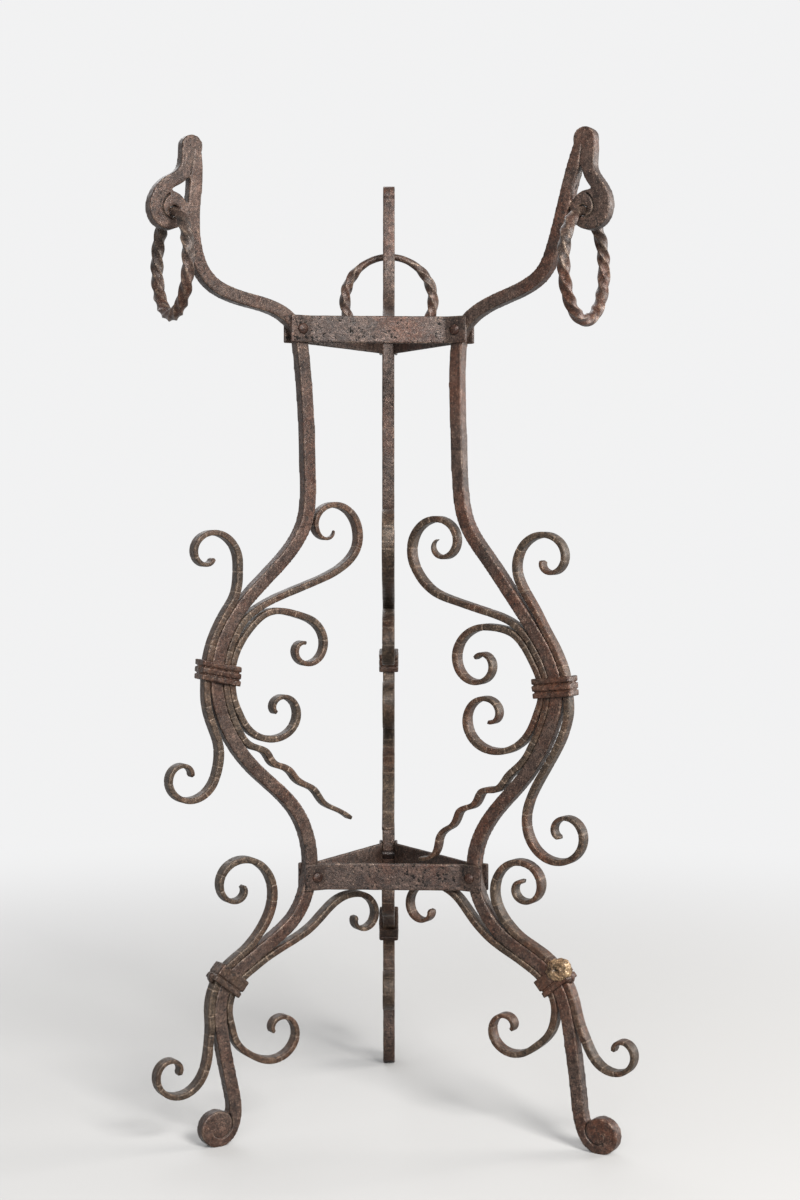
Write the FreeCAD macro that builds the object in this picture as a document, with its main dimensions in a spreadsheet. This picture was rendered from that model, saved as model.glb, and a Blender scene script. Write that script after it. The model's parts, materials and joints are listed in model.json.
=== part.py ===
import FreeCAD, Part
import math
import os
import Sketcher

# A wrought-iron stand on three legs. Each leg is one square bar that lies in a vertical plane
# through the stand's axis: foot curl, ankle, waist, belly, arm, and a fold at the top whose outer
# strand closes into an eye. Scrolls are strapped to the leg by two collars, two triangular frames
# of flat straps hold the legs together, and a twisted ring hangs in each eye.

Vector = FreeCAD.Vector
Placement = FreeCAD.Placement
Rotation = FreeCAD.Rotation
UP = Vector(0, 0, 1)

doc = FreeCAD.newDocument("scroll_stand")

# ---------------------------------------------------------------- driving dimensions

SIZES = (
    ("bar_side", 12.0),          # square bar of the legs, and the width of every scroll bar
    ("scroll_thick", 6.0),       # scroll bars, measured in the leg's plane
    ("scroll_tip", 3.4),         # scroll bars at their blunt tips
    ("scroll_taper", 90.0),      # length over which a scroll thins to its tip
    ("tail_tip", 3.6),           # the tendril's tail
    ("tail_taper", 110.0),
    ("bar_gap", 0.25),           # play between bars that lie side by side
    ("strap_height", 25.0),
    ("strap_thick", 3.0),
    ("strap_bend", 6.0),         # middle radius of the bends at the strap's ends
    ("strap_lap", 10.0),         # from the rivet inwards to the bend
    ("strap_tip", 11.5),         # from the rivet outwards to the strap's tip
    ("strap_corner", 0.6),       # radius of the strap's end corners, seen from above
    ("upper_base", 731.0),       # underside of the upper frame
    ("lower_base", 225.5),       # underside of the lower frame
    ("rivet_shank", 5.0),
    ("rivet_play", 0.06),
    ("rivet_head", 10.0),
    ("rivet_rise", 2.6),
    ("collar_wall", 2.2),        # collar, at the bottom of its grooves
    ("collar_rib", 3.8),         # collar, over its ribs
    ("collar_corner", 1.6),
    ("collar_play", 0.02),
    ("waist_height", 18.0),      # collar at the waist
    ("ankle_height", 17.0),      # collar at the ankle
    ("eye_hole", 12.0),
    ("ring_bar", 9.2),           # side of the ring's square twisted bar
    ("ring_neck", 5.6),          # side of the plain part that passes through the eye
    ("ring_drop", 1.0),          # how far the ring's neck hangs below the middle of the hole
    ("ring_turns", 4.0),         # turns of twist in one ring
    ("ring_left", 90.0),         # middle diameters of the three rings
    ("ring_right", 95.5),
    ("ring_back", 91.0),
    ("axis_across", -5.8),       # where the legs' common axis stands
    ("axis_depth", -45.7),
)

sheet = doc.addObject("Spreadsheet::Sheet", "Sizes")
for row, (alias, number) in enumerate(SIZES, start=1):
    sheet.set("A%d" % row, alias)
    sheet.set("B%d" % row, str(number))
    sheet.setAlias("B%d" % row, alias)
doc.recompute()


def size(alias):
    return float(sheet.get(alias))


# ---------------------------------------------------------------- the legs' patterns
#
# Places are (distance from the axis, height). A curl is a spiral: its middle, its first and last
# radius, the angle where it starts, how far it turns, and the power that shapes it. "beside" is
# the lowest and the highest place on the leg's middle line where a scroll lies along the leg.

LEFT_LEG = {
    "line": [(180, 5.4), (171, 8.5), (163.5, 22), (166, 55), (175.5, 103), (176, 134), (168, 151),
             (153, 163.5), (123, 183), (99, 203), (87, 228), (84, 258), (99, 301), (139, 340),
             (169, 380), (179.5, 418), (174.5, 455), (149, 496), (112, 532), (90, 563), (85, 615),
             (87, 670), (92, 725), (96, 742), (108, 755), (150, 768), (187, 785), (199, 812),
             (200, 850), (198, 885), (201, 901)],
    "foot": (180, 15.9, 16.5),
    "fold": (201.8, 900, 9.8),
    "strand": [(205.5, 900), (206, 890), (208, 880), (213, 873), (222, 867.5), (230, 861),
               (235, 853), (237, 844), (234.5, 836), (228.5, 831.5), (222, 831)],
    "eye": (223.3, 842.3, 16.8),
    "hole": (219.5, 842),
    "rivets": (94, 80),
    "stations": (431, 151),
    "waist_outer": {
        "beside": (424, 484), "up": [(159, 503)],
        "up_curl": (186, 537, 36.7, 4.5, -141, -368, 0.62),
        "down": [(189, 408), (186.5, 394), (181, 379), (176.5, 365)],
        "down_curl": (210, 338.6, 37.7, 5.7, 159, 385, 0.53)},
    "tendril": {
        "beside": (362, 478), "up": [(137, 488.5), (109, 501), (78, 512), (57, 521)],
        "up_curl": (63, 561, 37.1, 5.0, -136, -384, 0.68),
        "down": [(139, 361), (130, 357), (122, 346), (108, 340.5), (97, 328.5), (80, 319),
                 (71, 307), (58, 299.5), (41, 289)]},
    "waist_inner": {
        "beside": (405, 443), "up": [(151.6, 463), (141.5, 474.5), (129, 483.5)],
        "up_curl": (89.3, 450.2, 37.0, 4.5, 68, 397, 0.5),
        "down": [(154.5, 389), (149.5, 381)],
        "down_curl": (115.3, 394.6, 35.2, 4.5, -39, -354, 0.6)},
    "ankle_outer": {
        "beside": (113, 168), "up": [(140, 186.5)],
        "up_curl": (157.8, 233.9, 46.2, 4.5, -127, -434, 0.61),
        "down": [(187, 96)],
        "down_curl": (222.5, 73, 35.2, 4.7, 169, 402, 0.6)},
    "ankle_inner": {
        "beside": (122, 172), "up": [(107.5, 178), (83, 191), (50, 216)],
        "up_curl": (30.8, 194.7, 25.2, 4.5, 66, 318, 0.76),
        "down": [(165.2, 107), (160.5, 93)],
        "down_curl": (117.6, 98.5, 37.2, 4.5, -24, -358, 0.64)},
}

RIGHT_LEG = {
    "line": [(223.5, 5.4), (213.5, 8.5), (205, 22), (200, 50), (193, 101), (185, 136), (177, 151),
             (163, 164), (130, 183), (107, 205), (96, 228), (94, 258), (109, 293), (145, 334),
             (168, 372), (178, 418), (165, 453), (137, 493), (108, 532), (86, 563), (77, 615),
             (75, 670), (75.5, 725), (79, 742), (91, 756), (129, 773), (163, 792), (173, 812),
             (184, 850), (195, 888), (202, 906)],
    "foot": (223.5, 15.9, 16.5),
    "fold": (204, 906.5, 10.5),
    "strand": [(207, 906), (208.5, 895), (207.5, 884), (209, 877), (214, 868.5), (219.5, 861),
               (222.8, 853), (223, 844), (220, 836.5), (214, 832.5), (207, 832)],
    "eye": (208.8, 843.7, 17.7),
    "hole": (202.5, 844),
    "rivets": (76, 92),
    "stations": (418, 152),
    "waist_outer": {
        "beside": (415, 462), "up": [(157, 485), (147, 500.5)],
        "up_curl": (168, 532, 34.6, 4.5, -148, -392, 0.82),
        "down": [(189, 398), (184, 376), (172, 352), (157, 327)],
        "down_curl": (184, 286, 41.5, 5.0, 156, 447, 0.64)},
    "tendril": {
        "beside": (345, 462), "up": [(134, 474), (104, 485), (72, 494), (51, 502)],
        "up_curl": (57.4, 546.5, 41.4, 4.5, -113, -490, 0.6),
        "down": [(127, 332), (118, 322), (102, 318.5), (94, 306), (79, 299.5), (73, 287),
                 (59, 277), (55, 264), (35, 251)]},
    "waist_inner": {
        "beside": (400, 430), "up": [(153.4, 440.8), (144.3, 455.3), (132.3, 465.8)],
        "up_curl": (99, 437.3, 40.5, 5.2, 51, 451, 0.61),
        "down": [(157.5, 391), (153, 380)],
        "down_curl": (108.4, 388.5, 43.3, 4.8, -33, -415, 0.59)},
    "ankle_outer": {
        "beside": (117, 178), "up": [(125, 202)],
        "up_curl": (144.4, 233.3, 34.6, 4.8, -139, -488, 0.69),
        "down": [(207, 100)],
        "down_curl": (240.5, 94, 27.8, 4.5, 199, 345, 0.64)},
    "ankle_inner": {
        "beside": (138, 176), "up": [(105, 187.5), (88, 205), (74, 220)],
        "up_curl": (42, 203.8, 31.7, 4.5, 42, 321, 0.72),
        "down": [(177, 119), (171.5, 102)],
        "down_curl": (128.7, 102.6, 38.9, 4.5, -12, -373, 0.5)},
}


def halfway(one, other):
    """The pattern halfway between two patterns of the same form."""
    if isinstance(one, dict):
        return {key: halfway(one[key], other[key]) for key in one}
    if isinstance(one, (list, tuple)):
        return [halfway(a, b) for a, b in zip(one, other)]
    return (one + other) / 2


LEGS = {
    "left": (210, LEFT_LEG),
    "right": (330, RIGHT_LEG),
    "back": (90, halfway(LEFT_LEG, RIGHT_LEG)),
}


def rivet_height(frame):
    return size(frame + "_base") + size("strap_height") / 2


def leg_placement(name):
    base = Vector(size("axis_across"), size("axis_depth"), 0)
    return Placement(base, Rotation(UP, LEGS[name][0]))


# ---------------------------------------------------------------- plane curves

def curve_through(points):
    curve = Part.BSplineCurve()
    curve.interpolate([Vector(x, y, 0) for x, y in points])
    return curve


SPIRAL_STEP = 24.0      # degrees between the points of a curl
SPIRAL_LEAD = 0.6       # share of a step left free before a curl's first point


def spiral(curl):
    x, y, first, last, start, sweep, power = curl
    count = round(abs(sweep) / SPIRAL_STEP)
    points = []
    for step in range(count):
        part = (step + SPIRAL_LEAD) / (count - 1 + SPIRAL_LEAD)
        radius = first + (last - first) * part ** power
        angle = math.radians(start + sweep * part)
        points.append((x + radius * math.cos(angle), y + radius * math.sin(angle)))
    return points


def side_step(curve, parameter, offset):
    """The point at a sideways offset from a curve, positive away from the stand's axis."""
    point = curve.value(parameter)
    along = Vector(*curve.tangent(parameter)[0])
    return (point.x + along.y * offset, point.y - along.x * offset)


HEIGHT_STEPS = 4000     # how finely a leg's line is searched for a height


def parameter_at_height(line, height):
    """Where a leg's line, rising from its foot, first reaches a height."""
    for step in range(HEIGHT_STEPS):
        parameter = line.FirstParameter + (line.LastParameter - line.FirstParameter) * step / HEIGHT_STEPS
        if line.value(parameter).y >= height:
            return parameter
    raise ValueError("the leg doesn't reach height %s" % height)


BESIDE_STEP = 12.0      # between the points of a stretch that lies along a leg


def beside_leg(line, low, high, offset):
    """Points from a high place down to a low one, at a sideways offset from a leg's line."""
    first = line.FirstParameter
    start, end = [line.length(first, parameter_at_height(line, height)) for height in (high, low)]
    count = math.ceil((start - end) / BESIDE_STEP)
    points = []
    for step in range(count + 1):
        distance = start + (end - start) * step / count
        points.append(side_step(line, line.parameterAtDistance(distance, first), offset))
    return points


LONGEST_STEP = 12.0     # between the points of a bar's edges, where the bar is straight
SHORTEST_STEP = 2.2
STEP_PER_RADIUS = 0.35
SHORTEST_END = 2.0


def band_edges(points, thickness, tips, tapers):
    """The outline of a bar: two curves offset from its middle line, and a flat cap at each end."""
    line = curve_through(points)
    total = line.length()
    far_edge = []
    near_edge = []
    distance = 0.0
    while True:
        parameter = line.parameterAtDistance(distance, line.FirstParameter)
        half = thickness / 2
        for tip, taper, run in zip(tips, tapers, (distance, total - distance)):
            if taper > 0:
                half = min(half, tip / 2 + (thickness - tip) / 2 * run / taper)
        far_edge.append(Vector(*side_step(line, parameter, half), 0))
        near_edge.append(Vector(*side_step(line, parameter, -half), 0))
        if distance >= total:
            break
        curvature = max(line.curvature(parameter), STEP_PER_RADIUS / LONGEST_STEP)
        distance += max(SHORTEST_STEP, STEP_PER_RADIUS / curvature)
        if total - distance < SHORTEST_END:
            distance = total
    edges = []
    for side in (far_edge, near_edge):
        edge = Part.BSplineCurve()
        edge.interpolate(side)
        edges.append(edge)
    edges.append(Part.LineSegment(far_edge[0], near_edge[0]))
    edges.append(Part.LineSegment(far_edge[-1], near_edge[-1]))
    return edges


def rounded_polygon(corners, radii):
    """Lines and arcs round a closed polygon whose corners are rounded by the given radii."""
    trimmed = []
    count = len(corners)
    for index, radius in enumerate(radii):
        corner = Vector(*corners[index], 0)
        back = (Vector(*corners[index - 1], 0) - corner).normalize()
        ahead = (Vector(*corners[(index + 1) % count], 0) - corner).normalize()
        if radius <= 0:
            trimmed.append((corner, None, corner))
            continue
        half_angle = back.getAngle(ahead) / 2
        reach = radius / math.tan(half_angle)
        middle = corner + (back + ahead).normalize() * (radius / math.sin(half_angle))
        crown = middle + (corner - middle).normalize() * radius
        trimmed.append((corner + back * reach, crown, corner + ahead * reach))
    edges = []
    for index, (start, crown, end) in enumerate(trimmed):
        if crown is not None:
            edges.append(Part.Arc(start, crown, end))
        edges.append(Part.LineSegment(end, trimmed[(index + 1) % count][0]))
    return edges


def rectangle(left, right, bottom, top, radius=0.0):
    corners = [(left, bottom), (right, bottom), (right, top), (left, top)]
    return rounded_polygon(corners, [radius] * 4)


# ---------------------------------------------------------------- bodies and features

def new_body(label):
    body = doc.addObject("PartDesign::Body", label)
    body.Label = label
    return body


def new_sketch(body, name, plane, geometry, offset=None):
    sketch = body.newObject("Sketcher::SketchObject", name)
    support = [item for item in body.Origin.OriginFeatures if item.Role == plane][0]
    sketch.AttachmentSupport = [(support, "")]
    sketch.MapMode = "FlatFace"
    if offset is not None:
        sketch.AttachmentOffset = offset
    for item in geometry:
        sketch.addGeometry(item, False)
    return sketch


def add_circle(sketch, x, y, radius, bound_to=None):
    index = sketch.addGeometry(Part.Circle(Vector(x, y, 0), UP, radius), False)
    if bound_to:
        constraint = sketch.addConstraint(Sketcher.Constraint("Radius", index, radius))
        sketch.setExpression("Constraints[%d]" % constraint, bound_to)


def pad(body, sketch, name, length, midplane):
    feature = body.newObject("PartDesign::Pad", name)
    feature.Profile = sketch
    feature.SideType = "Symmetric" if midplane else "One side"
    feature.setExpression("Length", length)
    sketch.Visibility = False
    return feature


def pocket_through(body, sketch, name, length):
    """Cuts a profile out of the body on both sides of its sketch."""
    feature = body.newObject("PartDesign::Pocket", name)
    feature.Profile = sketch
    feature.SideType = "Symmetric"
    feature.setExpression("Length", length)
    sketch.Visibility = False
    return feature


# ---------------------------------------------------------------- legs and scrolls

def make_leg(name):
    """One square bar from the foot curl to the eye, pierced for two rivets and the ring."""
    pattern = LEGS[name][1]
    side = size("bar_side")
    body = new_body(name + "_leg")
    whole = "Sizes.bar_side"
    straight = [0, 0], [0, 0]
    bar = new_sketch(body, name + "_leg_bar", "XZ_Plane",
                     band_edges(pattern["line"], side, *straight))
    pad(body, bar, name + "_leg_bar_pad", whole, True)
    strand = new_sketch(body, name + "_leg_strand", "XZ_Plane",
                        band_edges(pattern["strand"], side, *straight))
    pad(body, strand, name + "_leg_strand_pad", whole, True)
    rounds = new_sketch(body, name + "_leg_rounds", "XZ_Plane", [])
    for key in ("foot", "fold", "eye"):
        add_circle(rounds, *pattern[key])
    pad(body, rounds, name + "_leg_rounds_pad", whole, True)
    doc.recompute()
    holes = new_sketch(body, name + "_leg_holes", "XZ_Plane", [])
    add_circle(holes, *pattern["hole"], size("eye_hole") / 2, "Sizes.eye_hole / 2")
    for frame, radius in zip(("upper", "lower"), pattern["rivets"]):
        add_circle(holes, radius, rivet_height(frame), size("rivet_shank") / 2 + size("rivet_play"),
                   "Sizes.rivet_shank / 2 + Sizes.rivet_play")
    pocket_through(body, holes, name + "_leg_holes_cut", "2 * Sizes.bar_side")
    middle, height, radius = pattern["foot"]
    sole = new_sketch(body, name + "_leg_sole", "XZ_Plane",
                      rectangle(middle - radius, middle + radius, -radius, 0))
    pocket_through(body, sole, name + "_leg_sole_cut", "2 * Sizes.bar_side")
    body.Placement = leg_placement(name)
    return body


LAYERS = {
    # which side of the leg a scroll lies on, and how many scroll bars lie between
    "waist_outer": (1, 0), "tendril": (-1, 0), "waist_inner": (-1, 1),
    "ankle_outer": (1, 0), "ankle_inner": (-1, 0),
}


def layer_offset(key):
    outward, between = LAYERS[key]
    step = size("scroll_thick") + size("bar_gap")
    return outward * (size("bar_side") / 2 + size("bar_gap") + size("scroll_thick") / 2 + between * step)


def scroll_points(name, key):
    """A scroll's middle line, from the tip of its upper curl to its lower tip."""
    pattern = LEGS[name][1]
    part = pattern[key]
    line = curve_through(pattern["line"])
    low, high = part["beside"]
    points = list(reversed(spiral(part["up_curl"])))
    points += list(reversed(part["up"]))
    points += beside_leg(line, low, high, layer_offset(key))
    points += part["down"]
    if "down_curl" in part:
        points += spiral(part["down_curl"])
    return points


def make_scroll(name, key):
    label = name + "_" + key + ("" if key == "tendril" else "_scroll")
    body = new_body(label)
    lower_tip = "tail_tip" if key == "tendril" else "scroll_tip"
    lower_taper = "tail_taper" if key == "tendril" else "scroll_taper"
    tips = [size("scroll_tip"), size(lower_tip)]
    tapers = [size("scroll_taper"), size(lower_taper)]
    outline = band_edges(scroll_points(name, key), size("scroll_thick"), tips, tapers)
    sketch = new_sketch(body, label + "_outline", "XZ_Plane", outline)
    pad(body, sketch, label + "_pad", "Sizes.bar_side", True)
    body.Placement = leg_placement(name)
    return body


# ---------------------------------------------------------------- collars

COLLARS = {
    # height in the sheet, how many scroll bars lie inside and outside the leg, and the ribs
    "waist": ("waist_height", 2, 1, ((0, 5), (6.5, 11.5), (13, 18))),
    "ankle": ("ankle_height", 1, 1, ((0, 5), (6.5, 17))),
}


def make_collar(name, place, bars):
    """A ribbed band forged round the bundle of bars, square to the leg."""
    height_alias, inside, outside, ribs = COLLARS[place]
    pattern = LEGS[name][1]
    station = pattern["stations"][0 if place == "waist" else 1]
    line = curve_through(pattern["line"])
    parameter = parameter_at_height(line, station)
    centre = line.value(parameter)
    along = Vector(*line.tangent(parameter)[0])
    label = name + "_" + place + "_collar"
    height = size(height_alias)
    step = size("scroll_thick") + size("bar_gap")
    inner = -size("bar_side") / 2 - inside * step
    outer = size("bar_side") / 2 + outside * step
    half = size("bar_side") / 2 + size("collar_play")

    blank = new_body(label + "_blank")
    levels = [(size("collar_wall"), 0.0, height)]
    levels += [(size("collar_rib"), low, high) for low, high in ribs]
    for index, (wall, low, high) in enumerate(levels):
        outline = rectangle(inner - wall, outer + wall, -half - wall, half + wall,
                            size("collar_corner"))
        outline += rectangle(inner, outer, -half, half)
        sketch = new_sketch(blank, "%s_level_%d" % (label, index), "XY_Plane", outline,
                            Placement(Vector(0, 0, low - height / 2), Rotation()))
        feature = blank.newObject("PartDesign::Pad", "%s_pad_%d" % (label, index))
        feature.Profile = sketch
        feature.Length = high - low
        if index == 0:
            feature.setExpression("Length", "Sizes." + height_alias)
    lean = math.degrees(math.atan2(along.x, along.y))
    in_leg = Placement(Vector(centre.x, 0, centre.y), Rotation(Vector(0, 1, 0), lean))
    blank.Placement = leg_placement(name).multiply(in_leg)

    bundle = doc.addObject("Part::Compound", label + "_bundle")
    bundle.Links = bars
    collar = doc.addObject("Part::Cut", label)
    collar.Label = label
    collar.Base = blank
    collar.Tool = bundle
    return collar


# ---------------------------------------------------------------- straps and rivets

FRAMES = {"upper": 0, "lower": 1}
STRAPS = {"front": ("left", "right"), "right": ("right", "back"), "left": ("back", "left")}


def radial(name):
    angle = math.radians(LEGS[name][0])
    return Vector(math.cos(angle), math.sin(angle), 0)


def strap_side(start, end, offsets):
    """Corners of one face of a strap: tip, bend, bend, tip, at offsets from the two leg planes."""
    corners = []
    for name, rivet, turn in (start, end):
        outwards = radial(name)
        sideways = UP.cross(outwards) * turn
        for reach in (size("strap_tip"), -size("strap_lap")):
            corners.append(outwards * (rivet + reach) + sideways * offsets[0])
    first_tip, first_bend, second_tip, second_bend = corners
    return [first_tip, first_bend, second_bend, second_tip]


def crossing(point, direction, other, other_direction):
    """Where two level lines cross."""
    scale = direction.x * other_direction.y - direction.y * other_direction.x
    gap = other - point
    run = (gap.x * other_direction.y - gap.y * other_direction.x) / scale
    return point + direction * run


def strap_outline(frame, start_name, end_name):
    """A flat strap seen from above: each end lies on the side of a leg, the middle runs across."""
    inside = size("bar_side") / 2
    outside = inside + size("strap_thick")
    ends = []
    for name, turn in ((start_name, 1), (end_name, -1)):
        ends.append((name, LEGS[name][1]["rivets"][FRAMES[frame]], turn))
    outer = strap_side(*ends, [outside])
    inner = strap_side(*ends, [inside])
    across = (outer[2] - outer[1]).normalize()
    shift = UP.cross(across) * size("strap_thick")
    if (outer[1] + shift).Length > outer[1].Length:
        shift = -shift
    for corner, (name, rivet, turn) in ((1, ends[0]), (2, ends[1])):
        inner[corner] = crossing(outer[corner] + shift, across, inner[corner], radial(name))
    ring = outer + list(reversed(inner))
    middle = size("strap_bend")
    half = size("strap_thick") / 2
    tip = size("strap_corner")
    bends = [middle + half, middle + half]
    radii = [tip] + bends + [tip, tip] + [bend - 2 * half for bend in bends] + [tip]
    return rounded_polygon([(corner.x, corner.y) for corner in ring], radii)


def make_strap(frame, side):
    label = "%s_strap_%s" % (frame, side)
    start_name, end_name = STRAPS[side]
    base = size(frame + "_base")
    body = new_body(label)
    sketch = new_sketch(body, label + "_outline", "XY_Plane",
                        strap_outline(frame, start_name, end_name))
    pad(body, sketch, label + "_pad", "Sizes.strap_height", False)
    for name in (start_name, end_name):
        turned = Placement(Vector(0, 0, 0), Rotation(Vector(0, 1, 0), LEGS[name][0]))
        hole = new_sketch(body, "%s_hole_%s" % (label, name), "XZ_Plane", [], turned)
        add_circle(hole, LEGS[name][1]["rivets"][FRAMES[frame]], size("strap_height") / 2,
                   size("rivet_shank") / 2 + size("rivet_play"),
                   "Sizes.rivet_shank / 2 + Sizes.rivet_play")
        pocket_through(body, hole, "%s_hole_%s_cut" % (label, name), "3 * Sizes.bar_side")
    body.Placement = Placement(Vector(size("axis_across"), size("axis_depth"), base), Rotation())
    return body


def make_rivet(frame, name):
    """A shank through strap, leg and strap, with a domed head on each side."""
    label = "%s_rivet_%s" % (frame, name)
    body = new_body(label)
    grip = size("bar_side") / 2 + size("strap_thick")
    shank = size("rivet_shank") / 2
    head = size("rivet_head") / 2
    rise = size("rivet_rise")
    dome = (head * head + rise * rise) / (2 * rise)
    halfway_round = math.asin(head / dome) / 2
    shoulder = dome * math.sin(halfway_round)
    shoulder_height = grip + rise - dome + dome * math.cos(halfway_round)
    near = Vector(0, grip + rise, 0)
    far = Vector(0, -grip - rise, 0)
    profile = [
        Part.Arc(near, Vector(shoulder, shoulder_height, 0), Vector(head, grip, 0)),
        Part.LineSegment(Vector(head, grip, 0), Vector(shank, grip, 0)),
        Part.LineSegment(Vector(shank, grip, 0), Vector(shank, -grip, 0)),
        Part.LineSegment(Vector(shank, -grip, 0), Vector(head, -grip, 0)),
        Part.Arc(Vector(head, -grip, 0), Vector(shoulder, -shoulder_height, 0), far),
        Part.LineSegment(far, near),
    ]
    sketch = new_sketch(body, label + "_profile", "XY_Plane", profile)
    turn = body.newObject("PartDesign::Revolution", label + "_turned")
    turn.Profile = sketch
    turn.ReferenceAxis = (sketch, ["V_Axis"])
    turn.Angle = 360
    place = Placement(Vector(LEGS[name][1]["rivets"][FRAMES[frame]], 0, rivet_height(frame)),
                      Rotation())
    body.Placement = leg_placement(name).multiply(place)
    return body


# ---------------------------------------------------------------- rings

RING_SECTIONS = 72
NECK_HALF = 22.0        # degrees of the ring, each side of the top, that are plain
NECK_BLEND = 20.0       # degrees over which the neck grows to the full bar
RING_YAW = {"left": -6.0, "right": 3.0, "back": 0.0}


def ring_section(angle, middle_radius):
    """The ring's square section at an angle from the top, as four corners."""
    from_top = min(angle, 360 - angle)
    growth = min(1.0, max(0.0, (from_top - NECK_HALF) / NECK_BLEND))
    growth = growth * growth * (3 - 2 * growth)
    side = size("ring_neck") + (size("ring_bar") - size("ring_neck")) * growth
    run = min(1.0, max(0.0, (angle - NECK_HALF) / (360 - 2 * NECK_HALF)))
    twist = math.radians(360 * size("ring_turns") * run)
    around = math.radians(angle)
    outwards = Vector(0, math.sin(around), math.cos(around))
    middle = outwards * middle_radius - Vector(0, 0, middle_radius)
    corners = []
    for quarter in range(4):
        turned = twist + math.radians(45 + 90 * quarter)
        reach = side / math.sqrt(2)
        corners.append(middle + outwards * (reach * math.cos(turned))
                       + Vector(reach * math.sin(turned), 0, 0))
    return corners


def make_ring(name):
    """A ring of twisted square bar. Its neck lies at the origin and the ring hangs below."""
    label = "ring_" + name
    middle_radius = size("ring_" + name) / 2
    sections = [ring_section(360 * step / RING_SECTIONS, middle_radius)
                for step in range(RING_SECTIONS)]
    faces = []
    for step, section in enumerate(sections):
        following = sections[(step + 1) % RING_SECTIONS]
        for quarter in range(4):
            ahead = (quarter + 1) % 4
            one = Part.LineSegment(section[quarter], section[ahead]).toShape()
            other = Part.LineSegment(following[quarter], following[ahead]).toShape()
            faces.append(Part.makeRuledSurface(one, other))
    shell = Part.makeShell(faces)
    shell.sewShape()
    solid = Part.makeSolid(shell)
    if solid.Volume < 0:
        solid.reverse()
    ring = doc.addObject("Part::Feature", label)
    ring.Label = label
    ring.Shape = solid
    radius, height = LEGS[name][1]["hole"]
    place = Placement(Vector(radius, 0, height - size("ring_drop")), Rotation(UP, RING_YAW[name]))
    ring.Placement = leg_placement(name).multiply(place)
    return ring


# ---------------------------------------------------------------- the whole stand

nodes = []
for leg_name in LEGS:
    leg = make_leg(leg_name)
    scrolls = {key: make_scroll(leg_name, key) for key in LAYERS}
    nodes += [leg] + list(scrolls.values())
    waist_bars = [leg, scrolls["waist_outer"], scrolls["tendril"], scrolls["waist_inner"]]
    ankle_bars = [leg, scrolls["ankle_outer"], scrolls["ankle_inner"]]
    nodes.append(make_collar(leg_name, "waist", waist_bars))
    nodes.append(make_collar(leg_name, "ankle", ankle_bars))
    nodes.append(make_ring(leg_name))
for frame_name in FRAMES:
    nodes += [make_strap(frame_name, side_name) for side_name in STRAPS]
    nodes += [make_rivet(frame_name, leg_name) for leg_name in LEGS]

doc.recompute()

for item in doc.Objects:
    if "Invalid" in item.State or "Error" in item.State:
        raise RuntimeError("%s failed: %s" % (item.Label, item.State))
for node in nodes:
    if node.Shape.isNull() or not node.Shape.isValid():
        raise RuntimeError("%s has no valid shape" % node.Label)
    if len(node.Shape.Solids) != 1:
        raise RuntimeError("%s has %d solids" % (node.Label, len(node.Shape.Solids)))

os.makedirs("parts", exist_ok=True)
whole = FreeCAD.BoundBox()
for node in nodes:
    node.Shape.exportStep("parts/%s.step" % node.Label)
    whole.add(node.Shape.BoundBox)
print("nodes", len(nodes))
print("box", [round(value, 1) for value in
              (whole.XMin, whole.XMax, whole.YMin, whole.YMax, whole.ZMin, whole.ZMax)])
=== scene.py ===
"""The looks of a forged-iron scroll stand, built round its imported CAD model."""

import json
import math

import bmesh
import bpy
import numpy as np
from mathutils import Matrix, Vector, noise


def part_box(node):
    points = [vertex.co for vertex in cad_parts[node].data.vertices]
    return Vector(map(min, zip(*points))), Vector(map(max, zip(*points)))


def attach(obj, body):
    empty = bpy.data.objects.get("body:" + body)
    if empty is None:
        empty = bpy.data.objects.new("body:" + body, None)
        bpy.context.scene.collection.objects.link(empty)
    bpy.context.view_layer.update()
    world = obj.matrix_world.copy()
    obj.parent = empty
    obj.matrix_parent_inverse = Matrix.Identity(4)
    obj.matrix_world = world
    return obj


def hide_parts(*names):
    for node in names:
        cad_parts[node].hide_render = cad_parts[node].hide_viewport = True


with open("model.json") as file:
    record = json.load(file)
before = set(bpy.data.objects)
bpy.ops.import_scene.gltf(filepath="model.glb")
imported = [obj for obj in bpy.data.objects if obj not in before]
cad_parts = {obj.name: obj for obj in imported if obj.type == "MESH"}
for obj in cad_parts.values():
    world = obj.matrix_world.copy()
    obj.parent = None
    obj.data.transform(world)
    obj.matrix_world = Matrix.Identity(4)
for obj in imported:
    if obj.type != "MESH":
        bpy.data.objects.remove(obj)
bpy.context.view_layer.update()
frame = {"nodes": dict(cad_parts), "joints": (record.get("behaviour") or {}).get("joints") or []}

MM = 0.001
UP = Vector((0, 0, 1))

# ---------------------------------------------------------------- places, from the frame

AZIMUTHS = {"left": 210, "right": 330, "back": 90}
SCROLLS = ("waist_outer_scroll", "tendril", "waist_inner_scroll",
           "ankle_outer_scroll", "ankle_inner_scroll")
pivots = {joint["child"].split("_")[0]: Vector(joint["pos_m"]) for joint in frame["joints"]}
swings = {joint["child"].split("_")[0]: Vector(joint["axis"]) for joint in frame["joints"]}


def radial(side):
    angle = math.radians(AZIMUTHS[side])
    return Vector((math.cos(angle), math.sin(angle), 0))


def stand_axis():
    """The upright line where the planes of the two front legs cross."""
    one, other = radial("left"), radial("right")
    gap = pivots["right"] - pivots["left"]
    run = (gap.x * other.y - gap.y * other.x) / (one.x * other.y - one.y * other.x)
    place = pivots["left"] + one * run
    return Vector((place.x, place.y, 0))


AXIS = stand_axis()


def leg_frame(side):
    """Turns (outwards, up, sideways) of a leg's plane into the row frame."""
    outwards = radial(side)
    turned = Matrix((outwards, UP, outwards.cross(UP))).transposed().to_4x4()
    return Matrix.Translation(AXIS) @ turned


def in_leg(side, point):
    return leg_frame(side).inverted() @ point


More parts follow.
